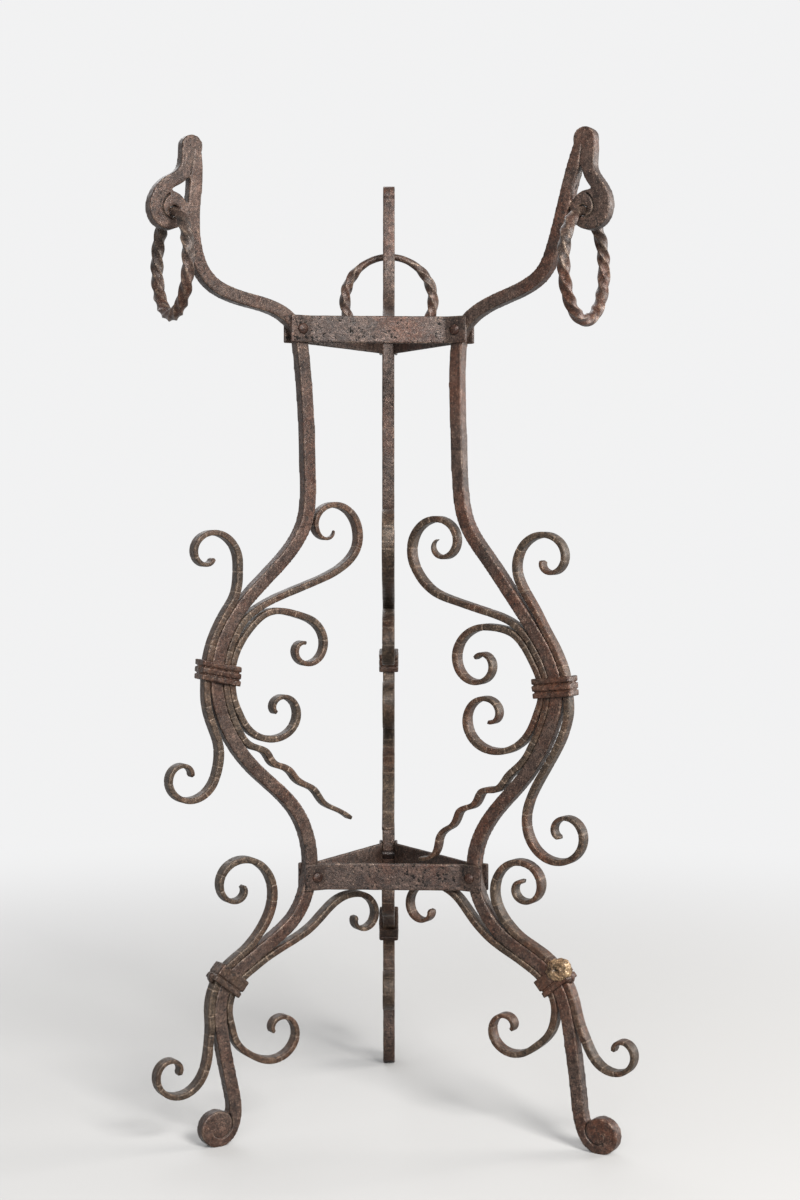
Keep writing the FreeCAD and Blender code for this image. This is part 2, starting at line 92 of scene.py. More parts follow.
# ---------------------------------------------------------------- mesh helpers

def set_attribute(mesh, name, values):
    attribute = mesh.attributes.new(name, "FLOAT", "POINT")
    attribute.data.foreach_set("value", np.asarray(values, np.float32))


def places(mesh):
    flat = np.empty(len(mesh.vertices) * 3, np.float32)
    mesh.vertices.foreach_get("co", flat)
    return flat.reshape(-1, 3).astype(float)


def normals(mesh):
    flat = np.empty(len(mesh.vertices) * 3, np.float32)
    mesh.vertices.foreach_get("normal", flat)
    return flat.reshape(-1, 3).astype(float)


def cad_points(node):
    return places(frame["nodes"][node].data)


def moved(points, matrix):
    """Points taken through a 4 by 4 matrix."""
    matrix = np.array(matrix)
    return points @ matrix[:3, :3].T + matrix[:3, 3]


def put(mesh, points):
    mesh.vertices.foreach_set("co", points.astype(np.float32).ravel())
    mesh.update()


SMALL_DENT_RATIO = 2.6
SMALL_DENT_SHARE = 0.5
WELD = 1e-6
SOFTENING = 0.5


def smooth_noise(points, wavelength, seed):
    """Noise from about -1 to 1 that changes over a wavelength, at each point."""
    shift = Vector((seed * 3.7, seed * 1.3, seed * 5.1))
    return np.array([noise.noise(Vector(point) / wavelength + shift) for point in points])


def hammered(mesh, depth, wavelength, seed):
    """Moves each vertex along its normal by the dents of a hammer, large and small."""
    points = places(mesh)
    large = smooth_noise(points, wavelength, seed)
    small = smooth_noise(points, wavelength / SMALL_DENT_RATIO, seed + 9)
    put(mesh, points + normals(mesh) * ((large + SMALL_DENT_SHARE * small) * depth)[:, None])


def dented(mesh, dents, seed):
    """Hammers a mesh once for each (depth in mm, wavelength in mm, step of the seed)."""
    for depth, wavelength, step in dents:
        hammered(mesh, depth * MM, wavelength * MM, seed + step)


def cornered(mesh, direction):
    """1 where the skin faces halfway between a direction and the plane across it, 0 on flats."""
    share = np.abs(normals(mesh) @ np.array(direction))
    return np.clip(2 * share * np.sqrt(np.clip(1 - share ** 2, 0, 1)), 0, 1) ** 2


def voxel_copy(node, voxel, rounding, extras=()):
    """A copy of a CAD node, with extra lumps, as one even skin with rounded edges."""
    mesh = frame["nodes"][node].data.copy()
    work = bmesh.new()
    work.from_mesh(mesh)
    for matrix, size in extras:
        bmesh.ops.create_icosphere(work, subdivisions=3, radius=size, matrix=matrix)
    bmesh.ops.remove_doubles(work, verts=work.verts, dist=WELD)
    work.to_mesh(mesh)
    work.free()
    holder = bpy.data.objects.new("holder", mesh)
    bpy.context.scene.collection.objects.link(holder)
    skin = holder.modifiers.new("skin", "REMESH")
    skin.mode = "VOXEL"
    skin.voxel_size = voxel
    soft = holder.modifiers.new("soft", "SMOOTH")
    soft.factor = SOFTENING
    soft.iterations = rounding
    ready = holder.evaluated_get(bpy.context.evaluated_depsgraph_get())
    result = bpy.data.meshes.new_from_object(ready)
    bpy.data.objects.remove(holder)
    result.materials.clear()
    return result


# ---------------------------------------------------------------- scroll bars

SECTION_ARC = (0, 45, 90)
WIDE_STEPS = 5
THIN_STEPS = 3
RING_STEP = 2.0 * MM
EDGE_RADIUS = 1.0 * MM
CORNER_TURN = math.radians(60)
FINE_STEP = 0.4 * MM
PARTNER_REACH = 0.15
NICK_SPACING = 14 * MM
NICK_SHIFT = 0.35
NICK_DEPTH = 0.45 * MM
NICK_WIDTH = 0.55 * MM
NICK_RINGS = (-1.3, -0.65, 0, 0.65, 1.3)
NICK_WEAKEST = 0.15
NICK_CONTRAST = 1.5
NICK_MIDDLE = 0.35
NICK_PINCH = 0.06
CORNER_SHARE = 0.45
POINT_RUN = 27 * MM
POINT_WIDTH = 0.3
POINT_CURVE = 0.8
HEADING_REACH = 1.2 * MM
THICK_WOBBLE = 0.06
THICK_WAVE = 14 * MM
WIDE_WOBBLE = 0.035
WIDE_WAVE = 23 * MM
TILT = math.radians(2.5)
TILT_WAVE = 40 * MM
# Half a bar's width, seen square on in the back leg, whose plane is square to x.
BAR_HALF = (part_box("back_tendril")[1].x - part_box("back_tendril")[0].x) / 2


def side_outline(node, to_row):
    """The rim of a node's flat side, as points in its plane, from the CAD mesh.

    The faces are walked in the mesh's own order, so that every run gives the same bar.
    """
    mesh = bmesh.new()
    mesh.from_mesh(frame["nodes"][node].data)
    mesh.transform(to_row.inverted())
    bmesh.ops.remove_doubles(mesh, verts=mesh.verts, dist=WELD)
    mesh.normal_update()
    flat = [face for face in mesh.faces if face.normal.z > 0.999]
    on_side = set(flat)
    following = {}
    for face in flat:
        for loop in face.loops:
            if sum(other in on_side for other in loop.edge.link_faces) == 1:
                following[loop.vert] = loop.link_loop_next.vert
    start = next(iter(following))
    rim = [start]
    while following[rim[-1]] is not start:
        rim.append(following[rim[-1]])
    points = np.array([vert.co.xy for vert in rim], float)
    mesh.free()
    return points


def run_of(points):
    steps = np.linalg.norm(np.diff(points, axis=0), axis=1)
    return np.concatenate(([0], np.cumsum(steps)))


def resampled(points, count):
    run = run_of(points)
    even = np.linspace(0, run[-1], count)
    return np.stack([np.interp(even, run, points[:, k]) for k in range(points.shape[1])], 1)


def middle_line(rim):
    """A bar's middle line and half thickness, from an outline with a flat cap at each end."""
    ahead = np.roll(rim, -1, 0) - rim
    heading = np.arctan2(ahead[:, 1], ahead[:, 0])
    turn = np.abs((heading - np.roll(heading, 1) + math.pi) % (2 * math.pi) - math.pi)
    corners = [k for k in range(len(rim)) if turn[k] > CORNER_TURN]
    caps = [k for k in corners if (k + 1) % len(rim) in corners]
    first, second = caps[0], caps[1]
    count = len(rim)
    one = np.array([rim[(first + 1 + k) % count] for k in range((second - first - 1) % count + 1)])
    other = np.array([rim[(second + 1 + k) % count] for k in range((first - second - 1) % count + 1)])
    other = other[::-1]
    fine = int(run_of(one)[-1] / FINE_STEP)
    one, other = resampled(one, fine), resampled(other, 2 * fine)
    middles, halves = [], []
    for k, point in enumerate(one):
        low = int(max(0, (k / fine - PARTNER_REACH)) * 2 * fine)
        high = int(min(1, (k / fine + PARTNER_REACH)) * 2 * fine)
        gaps = np.linalg.norm(other[low:high] - point, axis=1)
        nearest = other[low + int(gaps.argmin())]
        middles.append((point + nearest) / 2)
        halves.append(gaps.min() / 2)
    line = np.column_stack([middles, halves])
    run = run_of(line[:, :2])
    keep = np.concatenate(([True], np.diff(run) > 1e-7))
    return line[keep], run[keep]


def section(thin, wide, corner):
    """A rounded rectangle as (across, sideways, edge) points, edge being 1 on a corner."""
    points = []
    for quarter in range(4):
        centre_across = (thin - corner) * (1 if quarter in (0, 3) else -1)
        centre_side = (wide - corner) * (1 if quarter in (0, 1) else -1)
        for degrees in SECTION_ARC:
            angle = math.radians(degrees + 90 * quarter)
            points.append((centre_across + corner * math.cos(angle),
                           centre_side + corner * math.sin(angle), 1.0))
        start = points[-1]
        angle = math.radians(90 * (quarter + 1))
        following = (quarter + 1) % 4
        end_across = (thin - corner) * (1 if following in (0, 3) else -1) + corner * math.cos(angle)
        end_side = (wide - corner) * (1 if following in (0, 1) else -1) + corner * math.sin(angle)
        steps = THIN_STEPS if quarter % 2 == 0 else WIDE_STEPS
        for step in range(1, steps):
            share = step / steps
            points.append((start[0] + (end_across - start[0]) * share,
                           start[1] + (end_side - start[1]) * share, 0.0))
    return points


def closed_mesh(name, vertices, faces):
    """A mesh whose faces all look outwards."""
    mesh = bpy.data.meshes.new(name)
    mesh.from_pydata(vertices, [], faces)
    mesh.update()
    work = bmesh.new()
    work.from_mesh(mesh)
    bmesh.ops.recalc_face_normals(work, faces=work.faces)
    work.to_mesh(mesh)
    work.free()
    return mesh


def skin(rings, attributes, name):
    """A closed skin over rings of vertices, with a cap at each end."""
    count = len(rings[0])
    vertices = [place for ring in rings for place in ring]
    faces = []
    for k in range(len(rings) - 1):
        for i in range(count):
            j = (i + 1) % count
            faces.append((k * count + i, k * count + j, (k + 1) * count + j, (k + 1) * count + i))
    faces.append(tuple(reversed(range(count))))
    faces.append(tuple(range((len(rings) - 1) * count, len(rings) * count)))
    mesh = closed_mesh(name, vertices, faces)
    for key, values in attributes.items():
        set_attribute(mesh, key, values)
    return mesh


def scroll_mesh(node, side, seed):
    """A forged scroll bar: uneven, softly cornered, nicked across by a chisel."""
    to_row = leg_frame(side)
    line, run = middle_line(side_outline(node, to_row))
    total = run[-1]
    random = np.random.default_rng(seed)
    nicks = np.arange(NICK_SPACING, total - NICK_SPACING, NICK_SPACING)
    nicks = nicks + random.uniform(-NICK_SHIFT, NICK_SHIFT, len(nicks)) * NICK_SPACING
    strengths = random.uniform(NICK_WEAKEST, 1.0, len(nicks)) ** NICK_CONTRAST
    stops = set(np.arange(0, total, RING_STEP)) | {total}
    for nick in nicks:
        stops |= {nick + NICK_WIDTH * share for share in NICK_RINGS}
    stops = np.array(sorted(stop for stop in stops if 0 <= stop <= total))
    columns = np.stack([np.interp(stops, run, line[:, k]) for k in range(3)], 1)
    ahead = np.stack([np.interp(stops + HEADING_REACH, run, line[:, k]) for k in range(2)], 1)
    behind = np.stack([np.interp(stops - HEADING_REACH, run, line[:, k]) for k in range(2)], 1)
    along = ahead - behind
    along /= np.linalg.norm(along, axis=1)[:, None]
    tail_at_start = columns[0, 2] < columns[-1, 2]
    rings, edge, nicked = [], [], []
    for k, stop in enumerate(stops):
        centre, thin = columns[k, :2], columns[k, 2]
        wobble = noise.noise(Vector((stop / THICK_WAVE, seed, 0.3)))
        sway = noise.noise(Vector((stop / WIDE_WAVE, seed, 7.7)))
        thin = thin * (1 + THICK_WOBBLE * wobble)
        wide = BAR_HALF * (1 + WIDE_WOBBLE * sway)
        if node.endswith("tendril"):
            from_tail = stop if tail_at_start else total - stop
            pointed = POINT_WIDTH + (1 - POINT_WIDTH) * min(1, from_tail / POINT_RUN) ** POINT_CURVE
            wide *= pointed
            thin *= pointed
        nick = float((strengths * np.exp(-((nicks - stop) / NICK_WIDTH) ** 2)).sum())
        tilt = TILT * noise.noise(Vector((stop / TILT_WAVE, seed, 3.1)))
        across = np.array((-along[k, 1], along[k, 0]))
        corner = min(EDGE_RADIUS, thin * CORNER_SHARE)
        end = min(stop, total - stop)
        close = math.sqrt(max(0.0, 1 - max(0.0, 1 - end / corner) ** 2))
        ring = []
        for a, b, on_edge in section(thin, wide, corner):
            sink = NICK_DEPTH * nick * (NICK_MIDDLE + (1 - NICK_MIDDLE) * abs(b) / wide)
            b_now = b - math.copysign(sink, b) * (abs(b) > wide - 2 * corner)
            a_now = a * (1 - NICK_PINCH * nick)
            a_now, b_now = a_now + b_now * tilt, b_now - a_now * tilt
            shrink = 1 - (1 - close) * corner / max(thin, corner)
            place = centre + across * a_now * shrink
            ring.append(to_row @ Vector((place[0], place[1], b_now * shrink)))
            edge.append(on_edge)
            nicked.append(min(1, nick))
        rings.append(ring)
    return skin(rings, {"edge": edge, "nick": nicked}, node)


# ---------------------------------------------------------------- legs

LEG_VOXEL = 1.15 * MM
HOLE_RADIUS = 6.0 * MM
HOLE_RISE = 1.0 * MM
SNUG_RADIUS = {"left": 5.0 * MM, "right": 5.0 * MM, "back": 4.3 * MM}
SNUG_REACH = 4.0 * MM
GROOVE_REACH = 2.6 * MM
GROOVE_WIDTH = 0.75 * MM
GROOVE_DEPTH = 1.6 * MM
# How far from its middle towards its flat sides a leg is split finely, and carved.
SPLIT_FROM = 0.7
CARVED_FROM = 0.6
CARVED_OVER = 0.25
LEG_ROUNDING = 2
LEG_DENTS = ((0.13, 13, 0), (0.05, 4, 3))
SOLE_HEIGHT = 0.2 * MM
# The grooves' stations: (angle in degrees, radius in mm, strength).
FOOT_RADIUS = 16.5
EYE_GROOVE = ((72, 14.5, 1), (40, 12.4, 1), (0, 10.8, 1), (-45, 8.8, 0.9), (-85, 7.2, 0.5))
FOOT_GROOVE = ((128, FOOT_RADIUS, 1), (165, 14.2, 1), (205, 11.2, 0.9), (260, 8.5, 0.6),
               (330, 6.0, 0.35), (400, 3.5, 0.15))
# The fold's seam runs between two places, in mm outwards and upwards from the ring's pivot.
FOLD_SEAMS = {"left": ((-15.6, 34.0), (-19.7, 56.0)), "right": ((-2.9, 41.0), (-0.5, 58.0)),
              "back": ((-9.0, 37.0), (-10.0, 57.0))}
SEAM_STRENGTH = 0.75
SEAM_FADE = 0.6


def groove_depth(points, path, width):
    """How deep a groove along a path is at each point of the leg's plane, from 0 to 1."""
    depth = np.zeros(len(points))
    for centre, strength in path:
        gap = np.linalg.norm(points - np.array(centre), axis=1)
        depth = np.maximum(depth, strength * np.exp(-(gap / width) ** 2))
    return depth


def spiral_path(centre, stations, steps):
    """Points from one (angle, radius, strength) station to the next round a centre."""
    path = []
    table = np.array(stations, float)
    for share in np.linspace(0, 1, steps):
        at = share * (len(table) - 1)
        low = min(int(at), len(table) - 2)
        angle, radius, strength = table[low] + (table[low + 1] - table[low]) * (at - low)
        turn = math.radians(angle)
        path.append(((centre[0] + radius * MM * math.cos(turn),
                      centre[1] + radius * MM * math.sin(turn)), strength))
    return path


def leg_grooves(side):
    """The gap of the curled eye, the crease of the foot's roll and the seam of the fold."""
    hole = in_leg(side, pivots[side])
    hole_centre = (hole.x, hole.y + HOLE_RISE)
    foot = in_leg(side, foot_middle(side))
    start, end = FOLD_SEAMS[side]
    seam = [((hole.x + (start[0] + (end[0] - start[0]) * share) * MM,
              hole.y + (start[1] + (end[1] - start[1]) * share) * MM),
             SEAM_STRENGTH * (1 - SEAM_FADE * share)) for share in np.linspace(0, 1, 40)]
    eye = spiral_path(hole_centre, EYE_GROOVE, 90)
    roll = spiral_path((foot.x, FOOT_RADIUS * MM), FOOT_GROOVE, 120)
    return eye, roll, seam


def foot_middle(side):
    """The middle of a foot's roll: the leg's lowest points, seen from above."""
    points = cad_points(side + "_leg")
    return Vector(points[points[:, 2] < SOLE_HEIGHT].mean(0))


def refined_near(mesh, side, path):
    """Splits the leg's faces where a groove will be carved."""
    local = leg_frame(side).inverted()
    middle = np.array([centre for centre, strength in path])
    work = bmesh.new()
    work.from_mesh(mesh)
    for rounds in range(2):
        near = []
        for edge in work.edges:
            place = local @ ((edge.verts[0].co + edge.verts[1].co) / 2)
            if abs(place.z) < BAR_HALF * SPLIT_FROM:
                continue
            gap = np.hypot(middle[:, 0] - place.x, middle[:, 1] - place.y).min()
            if gap < GROOVE_REACH / (rounds + 1):
                near.append(edge)
        bmesh.ops.subdivide_edges(work, edges=near, cuts=1, use_grid_fill=True, smooth=0.3)
    bmesh.ops.triangulate(work, faces=[face for face in work.faces if len(face.verts) > 4])
    work.to_mesh(mesh)
    work.free()


def closed_on_neck(points, side):
    """Narrows the ring's hole to a snug fit round the neck, for points in the leg's plane."""
    neck = np.array(in_leg(side, pivots[side]).xy)
    away = points - neck
    distance = np.linalg.norm(away, axis=1)
    upward = away[:, 1] / np.maximum(distance, 1e-9)
    rim = HOLE_RISE * upward + np.sqrt(HOLE_RADIUS ** 2 - (HOLE_RISE ** 2) * (1 - upward ** 2))
    pull = (rim - SNUG_RADIUS[side]) * np.clip((rim + SNUG_REACH - distance) / SNUG_REACH, 0, 1)
    return points - away / np.maximum(distance, 1e-9)[:, None] * pull[:, None]


def leg_mesh(side, seed):
    """A hammered leg, with its curls carved and darkened in their grooves with painted shade, and its ring's
    hole drawn in round the neck.
    """
    mesh = voxel_copy(side + "_leg", LEG_VOXEL, LEG_ROUNDING)
    eye, roll, seam = leg_grooves(side)
    refined_near(mesh, side, eye + roll + seam)
    dented(mesh, LEG_DENTS, seed)
    flat = moved(places(mesh), leg_frame(side).inverted())
    flat[:, :2] = closed_on_neck(flat[:, :2], side)
    points = moved(flat, leg_frame(side))
    on_side = np.clip((np.abs(flat[:, 2]) / BAR_HALF - CARVED_FROM) / CARVED_OVER, 0, 1)
    carved = groove_depth(flat[:, :2], eye + roll + seam, GROOVE_WIDTH) * on_side
    sideways = np.array(leg_frame(side).to_3x3() @ UP)
    inwards = -np.sign(flat[:, 2])[:, None] * sideways
    put(mesh, points + inwards * (carved * GROOVE_DEPTH)[:, None])
    set_attribute(mesh, "edge", cornered(mesh, sideways))
    # The grooves' depth also darkens their colour as painted shade.
    set_attribute(mesh, "painted_shade", carved)
    return mesh


# ---------------------------------------------------------------- straps, collars, rivets

STRAP_VOXEL = 0.95 * MM
STRAP_ROUNDING = 2
STRAP_DENTS = ((0.12, 14, 0),)
COLLAR_VOXEL = 0.6 * MM
COLLAR_ROUNDING = 8
COLLAR_DENTS = ((0.42, 9, 0), (0.12, 3, 4))
COLLAR_SLANTS = {"left_waist_collar": 0.137}
OUTER_SKIN = 2.5 * MM
# The lumps where a collar's ends meet: place from its outer end, in the leg's plane, and size.
END_LUMP = (Vector((-0.8, 0, 0)) * MM, (0.55, 1.25, 1, 1), 4.2 * MM)
SIDE_LUMP = (Vector((-2.5, -1, 5)) * MM, (1, 1, 1.15, 1), 3.0 * MM)
# The bead: half sizes, place from the collar's outer, middle and near sides, and carved curl.
BEAD_HALVES = (13.0 * MM, 10.5 * MM, 5.0 * MM, 1)
BEAD_PLACE = (-10.5 * MM, 11.0 * MM, -1.5 * MM)
BEAD_TURN = math.radians(18)
BEAD_CURL = ((-20, 5.6, 0.1), (35, 4.8, 0.5), (90, 3.6, 0.9), (150, 2.4, 1), (215, 1.0, 1))
BEAD_CURL_WIDTH = 1.7 * MM
BEAD_CURL_DEPTH = 2.4 * MM
BEAD_SHADE = 0.75
BEAD_DENTS = ((1.0, 6, 0), (0.3, 2, 2))
RIVET_STEPS = 28
RIVET_RINGS = 7
RIVET_RISE = 2.6 * MM
RIVET_DENT = 0.07
RIVET_TOP = 6
RIM_SHADE_POWER = 6


def strap_mesh(node, seed):
    mesh = voxel_copy(node, STRAP_VOXEL, STRAP_ROUNDING)
    dented(mesh, STRAP_DENTS, seed)
    set_attribute(mesh, "edge", cornered(mesh, UP))
    return mesh


def collar_mesh(node, side, seed):
    """A ribbed band whose two ends meet in a lump on the outer side of the leg."""
    to_row = leg_frame(side)
    flat = moved(cad_points(node), to_row.inverted())
    furthest = flat[flat[:, 0] > flat[:, 0].max() - OUTER_SKIN].mean(0)
    outer_end = Vector((furthest[0], furthest[1], 0))
    place, shape, size = END_LUMP
    turned = to_row.to_3x3().to_4x4() @ Matrix.Diagonal(shape)
    lumps = [(Matrix.Translation(to_row @ (outer_end + place)) @ turned, size)]
    place, shape, size = SIDE_LUMP
    lumps.append((Matrix.Translation(to_row @ (outer_end + place)) @ Matrix.Diagonal(shape), size))
    mesh = voxel_copy(node, COLLAR_VOXEL, COLLAR_ROUNDING, lumps)
    points = places(mesh)
    across = moved(points, to_row.inverted())[:, 0]
    points[:, 2] += COLLAR_SLANTS.get(node, 0) * (across - (across.min() + across.max()) / 2)
    put(mesh, points)
    dented(mesh, COLLAR_DENTS, seed)
    return mesh


def bead_mesh(seed):
    """The bright lump where the right ankle collar's ends are hammered together."""
    to_row = leg_frame("right")
    flat = moved(cad_points("right_ankle_collar"), to_row.inverted())
    low, high = flat.min(0), flat.max(0)
    outwards, upwards, sideways = BEAD_PLACE
    middle = Vector((high[0] + outwards, (low[1] + high[1]) / 2 + upwards, high[2] + sideways))
    work = bmesh.new()
    bmesh.ops.create_icosphere(work, subdivisions=5, radius=1)
    work.transform(Matrix.Diagonal(BEAD_HALVES))
    curl = spiral_path((0, 0), BEAD_CURL, 90)
    creases = groove_depth(np.array([vert.co.xy for vert in work.verts]), curl, BEAD_CURL_WIDTH)
    for vert, crease in zip(work.verts, creases):
        vert.co.z -= math.copysign(BEAD_CURL_DEPTH * crease, vert.co.z)
    work.transform(Matrix.Rotation(BEAD_TURN, 4, "Z"))
    mesh = bpy.data.meshes.new("bead")
    work.transform(to_row @ Matrix.Translation(middle))
    work.to_mesh(mesh)
    work.free()
    dented(mesh, BEAD_DENTS, seed)
    # The curl's crease darkens the bead's colour as painted shade.
    set_attribute(mesh, "painted_shade", BEAD_SHADE * creases)
    return mesh


def rivet_mesh(node, side, seed):
    """Two uneven domed heads on one shank, with painted shade round their rims."""
    to_row = leg_frame(side)
    flat = moved(cad_points(node), to_row.inverted())
    middle = (flat.min(0) + flat.max(0)) / 2
    tip = flat[:, 2].max()
    head = (flat[:, 0].max() - flat[:, 0].min()) / 2
    rings, rim = [], []
    for face in (-1, 1):
        levels = np.linspace(0, 1, RIVET_RINGS)
        for level in (levels if face < 0 else levels[::-1]):
            angle = math.radians(RIVET_TOP + (90 - RIVET_TOP) * level)
            radius = head * math.sin(angle)
            depth = face * (tip - RIVET_RISE + RIVET_RISE * math.cos(angle))
            ring = []
            for step in range(RIVET_STEPS):
                turn = 2 * math.pi * step / RIVET_STEPS
                spot = Vector((math.cos(turn) * 1.3, math.sin(turn) * 1.3, seed + level))
                dent = 1 + RIVET_DENT * noise.noise(spot)
                ring.append(to_row @ Vector((middle[0] + radius * dent * math.cos(turn),
                                             middle[1] + radius * dent * math.sin(turn), depth)))
            rings.append(ring)
            # Darkness towards each head's rim: painted shade.
            rim += [level ** RIM_SHADE_POWER] * RIVET_STEPS
    return skin(rings, {"painted_shade": rim}, node)


# ---------------------------------------------------------------- rings

RING_SECTIONS = 480
RING_TURNS = -4.0
# The neck's half length and its blend into the twist, in degrees round the ring from its top.
NECK_HALF = 22.0
NECK_BLEND = {"left": 20.0, "right": 20.0, "back": 46.0}
RING_BAR = 9.2 * MM
RING_NECK = 5.6 * MM
RING_SQUARE = 0.5
RING_CORNER = 0.13
RING_WOBBLE = 0.035
RING_WOBBLES = 4
TWIST_WOBBLE = 10
LOWEST_SHARE = 0.56
NECK_ROUND = {"left": 0.73, "right": 0.73, "back": 0.62}


def ring_mesh(node, side, seed):
    """A ring of square bar twisted one way, plain and thinner where it runs through the eye."""
    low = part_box(node)[0]
    pivot = pivots[side]
    middle_radius = (pivot.z - low.z - RING_BAR * LOWEST_SHARE) / 2
    across = swings[side].normalized()
    outwards_level = across.cross(UP)
    rings, edge = [], []
    square = section(RING_SQUARE, RING_SQUARE, RING_CORNER)
    for step in range(RING_SECTIONS):
        angle = 360 * step / RING_SECTIONS
        from_top = min(angle, 360 - angle)
        growth = min(1.0, max(0.0, (from_top - NECK_HALF) / NECK_BLEND[side]))
        growth = growth * growth * (3 - 2 * growth)
        run = min(1.0, max(0.0, (angle - NECK_HALF) / (360 - 2 * NECK_HALF)))
        around = math.radians(angle)
        wobble = noise.noise(Vector((math.cos(around) * RING_WOBBLES, math.sin(around) * RING_WOBBLES, seed)))
        side_length = (RING_NECK + (RING_BAR - RING_NECK) * growth) * (1 + RING_WOBBLE * wobble)
        twist = math.radians(360 * RING_TURNS * run + TWIST_WOBBLE * wobble * growth)
        outwards = across * math.sin(around) + UP * math.cos(around)
        middle = pivot + outwards * middle_radius - UP * middle_radius
        ring = []
        for a, b, on_edge in square:
            reach = math.hypot(a, b)
            a, b = (part * (growth + (1 - growth) * NECK_ROUND[side] / reach) for part in (a, b))
            one = a * math.cos(twist) - b * math.sin(twist)
            other = a * math.sin(twist) + b * math.cos(twist)
            ring.append(middle + outwards * (one * side_length) + outwards_level * (other * side_length))
            edge.append(on_edge)
        rings.append(ring)
    count = len(square)
    faces = []
    for k in range(RING_SECTIONS):
        following = (k + 1) % RING_SECTIONS
        for i in range(count):
            j = (i + 1) % count
            faces.append((k * count + i, k * count + j, following * count + j, following * count + i))
    mesh = closed_mesh(node, [place for ring in rings for place in ring], faces)
    set_attribute(mesh, "edge", edge)
    return mesh


# ---------------------------------------------------------------- forged iron

RUST_FADE = 0.06
RUST_SHARE = 0.7
RUST = (0.040, 0.012, 0.005)
# Near black: the colour of real pits, and also painted shade in the middle of chisel nicks.
PIT_AND_SHADE = (0.003, 0.002, 0.0016)
# Pale rubbed colour: real wear and flecks, and also painted highlight on edges and at the lips of nicks.
WORN_AND_HIGHLIGHT = (0.120, 0.086, 0.062)
FLECK_SHARE = 0.55
METALLIC = 0.3
SPECULAR = 0.26
BUMP_STRENGTH = 0.6
COARSE_BUMP = 0.0009
FINE_BUMP = 0.0005


def nodes_of(material):
    material.use_nodes = True
    tree = material.node_tree
    return tree, tree.nodes["Principled BSDF"]


class Maker:
    """Short calls for a material's nodes."""

    def __init__(self, tree):
        self.tree = tree
        self.place = self.add("ShaderNodeTexCoord").outputs["Object"]

    def add(self, kind, **settings):
        node = self.tree.nodes.new(kind)
        for key, value in settings.items():
            setattr(node, key, value)
        return node

    def link(self, source, target):
        self.tree.links.new(source, target)

    def noise(self, scale, detail=4.0, rough=0.55):
        node = self.add("ShaderNodeTexNoise")
        node.inputs["Scale"].default_value = scale
        node.inputs["Detail"].default_value = detail
        node.inputs["Roughness"].default_value = rough
        self.link(self.place, node.inputs["Vector"])
        return node.outputs["Fac"]

    def attribute(self, name):
        return self.add("ShaderNodeAttribute", attribute_name=name).outputs["Fac"]

    def spread(self, source, low, high, to_low=0.0, to_high=1.0):
        node = self.add("ShaderNodeMapRange")
        node.inputs["From Min"].default_value = low
        node.inputs["From Max"].default_value = high
        node.inputs["To Min"].default_value = to_low
        node.inputs["To Max"].default_value = to_high
        self.link(source, node.inputs["Value"])
        return node.outputs["Result"]

    def maths(self, operation, one, other):
        node = self.add("ShaderNodeMath", operation=operation)
        for socket, value in zip(node.inputs, (one, other)):
            if isinstance(value, (int, float)):
                socket.default_value = value
            else:
                self.link(value, socket)
        return node.outputs["Value"]

    def mix(self, share, one, other):
        node = self.add("ShaderNodeMix", data_type="RGBA")
        self.link(share, node.inputs["Factor"])
        for name, value in (("A", one), ("B", other)):
            socket = [s for s in node.inputs if s.name == name and s.type == "RGBA"][0]
            if isinstance(value, tuple):
                socket.default_value = (*value, 1)
            else:
                self.link(value, socket)
        return [s for s in node.outputs if s.type == "RGBA"][0]

    def bump(self, height, distance, under=None):
        node = self.add("ShaderNodeBump")
        node.inputs["Strength"].default_value = BUMP_STRENGTH
        node.inputs["Distance"].default_value = distance
        self.link(height, node.inputs["Height"])
        if under:
            self.link(under, node.inputs["Normal"])
        return node.outputs["Normal"]


